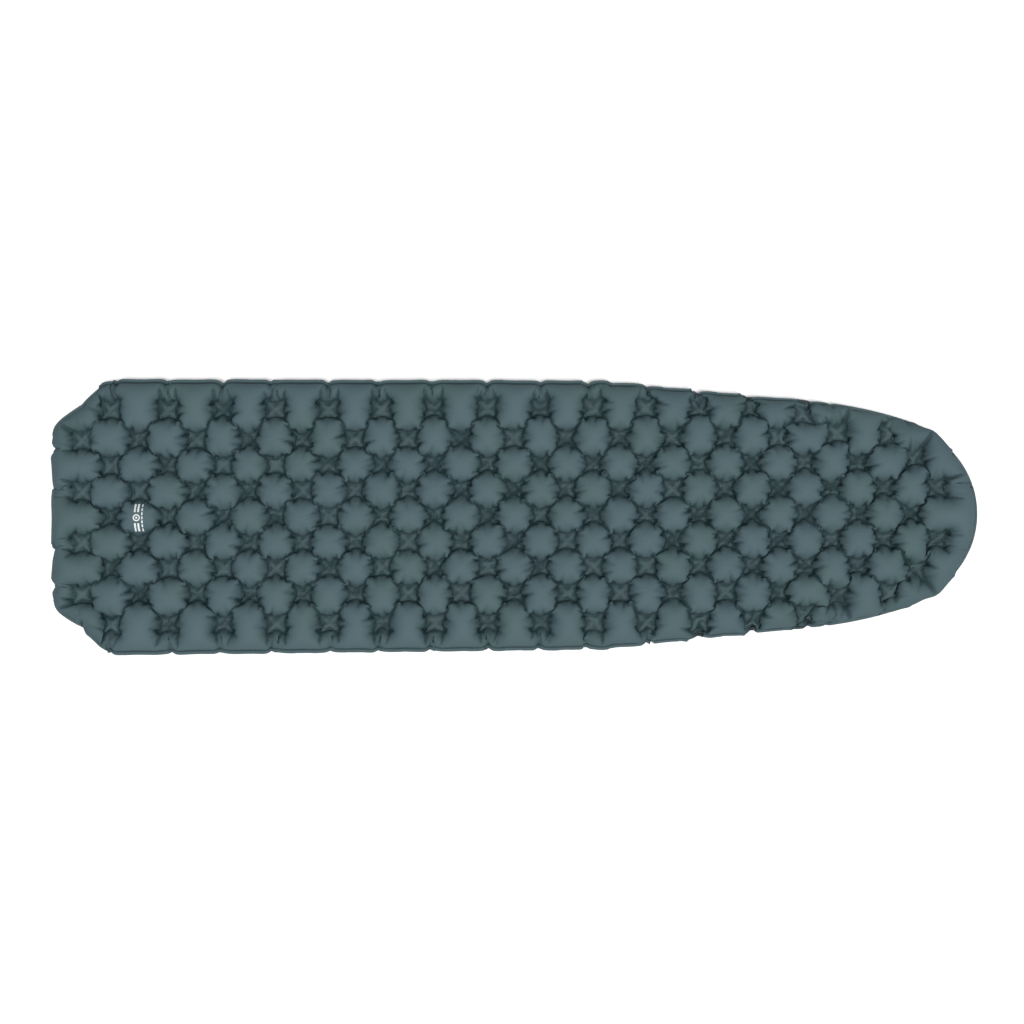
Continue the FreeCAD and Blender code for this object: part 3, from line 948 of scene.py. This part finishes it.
def make_mark(top, material):
    """Prints the mark on the first cell of the middle row."""
    tree = BVHTree.FromObject(top, bpy.context.evaluated_depsgraph_get())
    points, faces = [], []
    for patch in mark_patches():
        faces += quads(*patch.shape[:2], len(points))
        for x, y in patch.reshape(-1, 2):
            above = Vector((MARK_PLACE[0] + x, MARK_PLACE[1] + y, 2 * THICKNESS))
            hit, _, _, _ = tree.ray_cast(above, Vector((0, 0, -1)))
            points.append(hit + Vector((0, 0, MARK_LIFT)))
    mesh = bpy.data.meshes.new("printed_mark")
    mesh.from_pydata(points, [], faces)
    mesh.update()
    mesh.materials.append(material)
    piece = linked("printed_mark", mesh)
    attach(piece, "pad")


# -------- materials
def new_material(name):
    material = bpy.data.materials.new(name)
    material.use_nodes = True
    tree = material.node_tree
    return material, tree, tree.nodes["Principled BSDF"]


def connect(tree, made, inputs):
    """Fills a node's inputs with constants, or with sockets that are linked to it."""
    for key, value in inputs.items():
        if isinstance(value, bpy.types.NodeSocket):
            tree.links.new(value, made.inputs[key])
        else:
            made.inputs[key].default_value = value


def node(tree, kind, inputs=(), **settings):
    """A new node. Its inputs are given by name or, in a row, by number."""
    made = tree.nodes.new(kind)
    for key, value in settings.items():
        setattr(made, key, value)
    connect(tree, made, inputs if isinstance(inputs, dict) else dict(enumerate(inputs)))
    return made


def maths(tree, operation, *values):
    """The result of a Math node."""
    return node(tree, "ShaderNodeMath", values, operation=operation).outputs[0]


def product(tree, first, *others):
    """The values multiplied with each other."""
    for value in others:
        first = maths(tree, "MULTIPLY", first, value)
    return first


def mixed(tree, factor, a, b):
    """A colour between a and b."""
    return node(tree, "ShaderNodeMix", {0: factor, 6: a, 7: b}, data_type="RGBA").outputs[2]


def noise(tree, place, scale, detail=2.0, roughness=0.5):
    """Smooth random values from 0 to 1, mostly near a half. Scale is in lumps per metre."""
    inputs = {"Vector": place, "Scale": scale, "Detail": detail, "Roughness": roughness}
    return node(tree, "ShaderNodeTexNoise", inputs).outputs["Fac"]


def remap(tree, value, *ranges):
    """The value, stretched from (low, high) to another (low, high)."""
    return node(tree, "ShaderNodeMapRange", (value, *ranges)).outputs[0]


def stored(tree, name, output="Fac"):
    """A value that is kept on the mesh's points."""
    return node(tree, "ShaderNodeAttribute", attribute_name=name).outputs[output]


def total(tree, first, *others):
    """The sum of some values. Each of the others is (value, factor)."""
    for value, factor in others:
        first = maths(tree, "ADD", first, product(tree, value, factor))
    return first


def bump(tree, height):
    """The normal of a surface that is uneven by the height, which is in metres."""
    inputs = {"Height": height, "Strength": 1.0, "Distance": 1.0}
    return node(tree, "ShaderNodeBump", inputs).outputs[0]


def painted_crease_lines(tree, flat):
    """Painted shade: 1 away from the creases, and less on the thin wandering dark lines painted
    where cells meet.
    """
    wander = noise(tree, flat, WANDER_LUMPS)
    wander = remap(tree, wander, *NOISE_SPAN, -CREASE_WANDER, CREASE_WANDER)
    strength = remap(tree, noise(tree, flat, BREAK_LUMPS, 1.0), *CREASE_BREAKS)
    left = []
    for off, here in (("off_rim", "line_shade"), ("off_link", "on_link")):
        away = maths(tree, "ABSOLUTE", maths(tree, "ADD", stored(tree, off), wander))
        dark = remap(tree, away, *CREASE_EDGES, CREASE_SHADE, 0.0)
        dark = product(tree, dark, stored(tree, here), strength)
        left.append(maths(tree, "SUBTRACT", 1.0, dark))
    return product(tree, left[0], left[1])


def woven_waves(tree, flat):
    """The weave's height, from -1 to 1: two rows of fine waves across each other."""
    axes = node(tree, "ShaderNodeSeparateXYZ", (flat,))
    waves = []
    for axis in ("X", "Y"):
        turn = product(tree, axes.outputs[axis], 2 * math.pi / THREAD_PITCH)
        waves.append(maths(tree, "SINE", turn))
    return product(tree, waves[0], waves[1])


def grain_and_painted_shade(tree, flat, weave, grain):
    """From 0 for the painted shade colour to 1 for the open one: random grain and streaks, with
    painted shade in creases, tucks and pits.
    """
    streaks = node(tree, "ShaderNodeMapping", {"Vector": flat, "Scale": STREAK_LUMPS})
    streaks = noise(tree, streaks.outputs[0], 1.0, 1.0)
    light = remap(tree, grain, *NOISE_SPAN, *GRAIN_LIGHT)
    light = maths(tree, "ADD", light, remap(tree, streaks, *NOISE_SPAN, *STREAK_LIGHT))
    # painted shade: darker in creases, tucks and notches, in pits and lower down the cells, and on
    # the crease lines
    hollow, tuck = stored(tree, "crease"), stored(tree, "tuck")
    light = total(tree, light, (weave, WEAVE_LIGHT), (hollow, -HOLLOW_SHADE), (tuck, -TUCK_SHADE))
    return product(tree, light, stored(tree, "lit"), painted_crease_lines(tree, flat))


def fabric_material(name, base, tint, deep):
    """Coated woven cloth: fine weave, faint cloudiness, and a darker colour painted in as shade in
    the creases, tucks and pits.
    """
    material, tree, shader = new_material(name)
    flat = stored(tree, "flat", "Vector")
    weave = woven_waves(tree, flat)
    cloud = noise(tree, flat, CLOUD_LUMPS, 3.0)
    grain = noise(tree, flat, GRAIN_LUMPS)
    rumple = noise(tree, flat, RUMPLE_LUMPS, 3.0, 0.6)
    colour = mixed(tree, remap(tree, cloud, 0.35, 0.65, 0.0, 1.0), base, tint)
    # painted shade: the colour goes towards the dark shade colour where the cloth is shaded
    shaded = mixed(tree, grain_and_painted_shade(tree, flat, weave, grain), deep, colour)
    rough = remap(tree, cloud, *NOISE_SPAN, *CLOTH_ROUGHNESS)
    rough = total(tree, rough, (stored(tree, "fused"), -FUSED_SHINE))
    height = product(tree, weave, WEAVE_DEPTH)
    height = total(tree, height, (rumple, RUMPLE_DEPTH), (grain, GRAIN_DEPTH))
    look = {"Base Color": shaded, "Roughness": rough, "Specular IOR Level": CLOTH_SPECULAR}
    look["Normal"] = bump(tree, height)
    connect(tree, shader, look)
    return material


def moulded_material(name, base, rough):
    """Moulded elastomer: a fine matte grain and faint flow clouding."""
    material, tree, shader = new_material(name)
    place = node(tree, "ShaderNodeTexCoord").outputs["Object"]
    cloud = noise(tree, place, MOULD_CLOUD_LUMPS, 3.0)
    grain = noise(tree, place, MOULD_GRAIN_LUMPS)
    dark = tuple(DARKER * c for c in base) + (1.0,)
    pale = tuple(min(1.0, PALER * c + 0.004) for c in base) + (1.0,)
    colour = mixed(tree, remap(tree, cloud, *NOISE_SPAN, 0.0, 1.0), dark, pale)
    spread = (rough - ROUGHNESS_SPREAD, rough + ROUGHNESS_SPREAD)
    rough = remap(tree, grain, *NOISE_SPAN, *spread)
    normal = bump(tree, product(tree, grain, GRAIN_DEPTH))
    connect(tree, shader, {"Base Color": colour, "Roughness": rough, "Normal": normal})
    return material


def make_materials():
    """Every material, by its name."""
    cloth = {"top_fabric": TOP_COLOURS, "bottom_fabric": BOTTOM_COLOURS}
    made = {name: fabric_material(name, *colours) for name, colours in cloth.items()}
    made.update({name: moulded_material(name, *look) for name, look in MOULDED.items()})
    return made


def smooth(mesh, sharp_from):
    """Smooth shading, but not over edges sharper than so many degrees."""
    mesh.polygons.foreach_set("use_smooth", [True] * len(mesh.polygons))
    mesh.set_sharp_from_angle(angle=math.radians(sharp_from))


def valve_piece(name, body, slot, materials, points, faces):
    """A small piece of the valve, from points in the valve's own frame."""
    origin, up_slope, across, outwards = valve_frame()
    axes = np.array([up_slope, across, outwards])
    mesh = bpy.data.meshes.new(name)
    mesh.from_pydata((origin + np.array(points) @ axes).tolist(), [], faces)
    smooth(mesh, 40)
    mesh.materials.append(materials[slot])
    piece = linked(name, mesh)
    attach(piece, body)


def round_bead(radius, thickness, z, turns):
    """(points, faces) of a half-round moulded bead along an arc on a face at height z."""
    around, over = BEAD_STEPS
    points = []
    for turn in np.radians(np.linspace(*turns, around + 1)):
        for roll in np.linspace(0, math.pi, over + 1):
            r = radius + thickness * math.cos(roll)
            points.append((r * math.cos(turn), r * math.sin(turn), z + thickness * math.sin(roll)))
    return points, quads(around + 1, over + 1)


def detail_valve(materials):
    """Moulded beads on the cap's and the insert's outer faces, and the cap's gate mark."""
    for name, body, slot, *shape in BEADS:
        valve_piece(name, body, slot, materials, *round_bead(*shape))


def dress_valve(materials):
    """Gives the CAD nodes of the valve their materials, smooth shading and soft edges."""
    for name, key in (
        ("valve_base", "valve_tpu"),
        ("tether_ring", "valve_tpu"),
        ("valve_insert", "valve_insert_tpu"),
        ("cap_ring", "valve_insert_tpu"),
        ("face_seal", "seal_silicone"),
        ("inflation_cap", "cap_tpu"),
        ("check_flap", "flap_silicone"),
    ):
        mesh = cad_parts[name].data
        mesh.materials.clear()
        mesh.materials.append(materials[key])
        smooth(mesh, 35)
        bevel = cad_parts[name].modifiers.new("moulded edges", "BEVEL")
        bevel.width = MOULDED_EDGE
        bevel.segments = 2
        bevel.limit_method = "ANGLE"
        bevel.angle_limit = math.radians(50)


# -------- stage
def make_floor():
    bpy.ops.mesh.primitive_plane_add(size=FLOOR_SIZE, location=(0, 0, 0))
    floor = bpy.context.object
    floor.name = "floor"
    material, tree, shader = new_material("floor")
    look = {"Base Color": (0.9, 0.9, 0.9, 1), "Roughness": 0.9, "Specular IOR Level": 0.1}
    connect(tree, shader, look)
    floor.data.materials.append(material)


def make_lights():
    """One wide soft light overhead, and a surround that glows more from one side.

    The surround looks plain white to the camera.
    """
    data = bpy.data.lights.new("overhead", "SUN")
    data.energy = SUN_ENERGY
    data.angle = SUN_ANGLE
    light = linked("overhead", data)
    light.rotation_euler = Vector(SUN_FROM).to_track_quat("Z", "Y").to_euler()
    world = bpy.data.worlds.new("studio")
    world.use_nodes = True
    tree = world.node_tree
    way = node(tree, "ShaderNodeTexCoord").outputs["Generated"]
    facing = node(tree, "ShaderNodeVectorMath", (way, GLOW_FROM), operation="DOT_PRODUCT")
    glow = remap(tree, facing.outputs["Value"], -0.5, 1.0, *GLOW_STRENGTH)
    seen = node(tree, "ShaderNodeLightPath").outputs["Is Camera Ray"]
    unseen = maths(tree, "SUBTRACT", 1.0, seen)
    strength = maths(tree, "ADD", product(tree, glow, unseen), seen)
    connect(tree, tree.nodes["Background"], {"Color": (1, 1, 1, 1), "Strength": strength})
    bpy.context.scene.world = world


def make_camera():
    """A camera straight above the pad."""
    data = bpy.data.cameras.new("camera")
    data.sensor_width = SENSOR_WIDTH
    data.lens = data.sensor_width * CAMERA_HEIGHT / VIEW_WIDTH
    camera = linked("camera", data)
    camera.location = (*CAMERA_PLACE, THICKNESS / 2 + CAMERA_HEIGHT)
    camera.rotation_euler = (0, 0, CAMERA_TURN)
    bpy.context.scene.camera = camera


def main():
    bpy.context.scene.view_settings.view_transform = "Standard"
    materials = make_materials()
    sheets, level = inflated_pad()
    top = sheet_piece("top_fabric", sheets, level, 0, "top_sheet", materials)
    make_mark(top, materials["print_ink"])
    sheet_piece("bottom_fabric", sheets, level, 1, "bottom_sheet", materials)
    dress_valve(materials)
    detail_valve(materials)
    make_floor()
    make_lights()
    make_camera()


main()
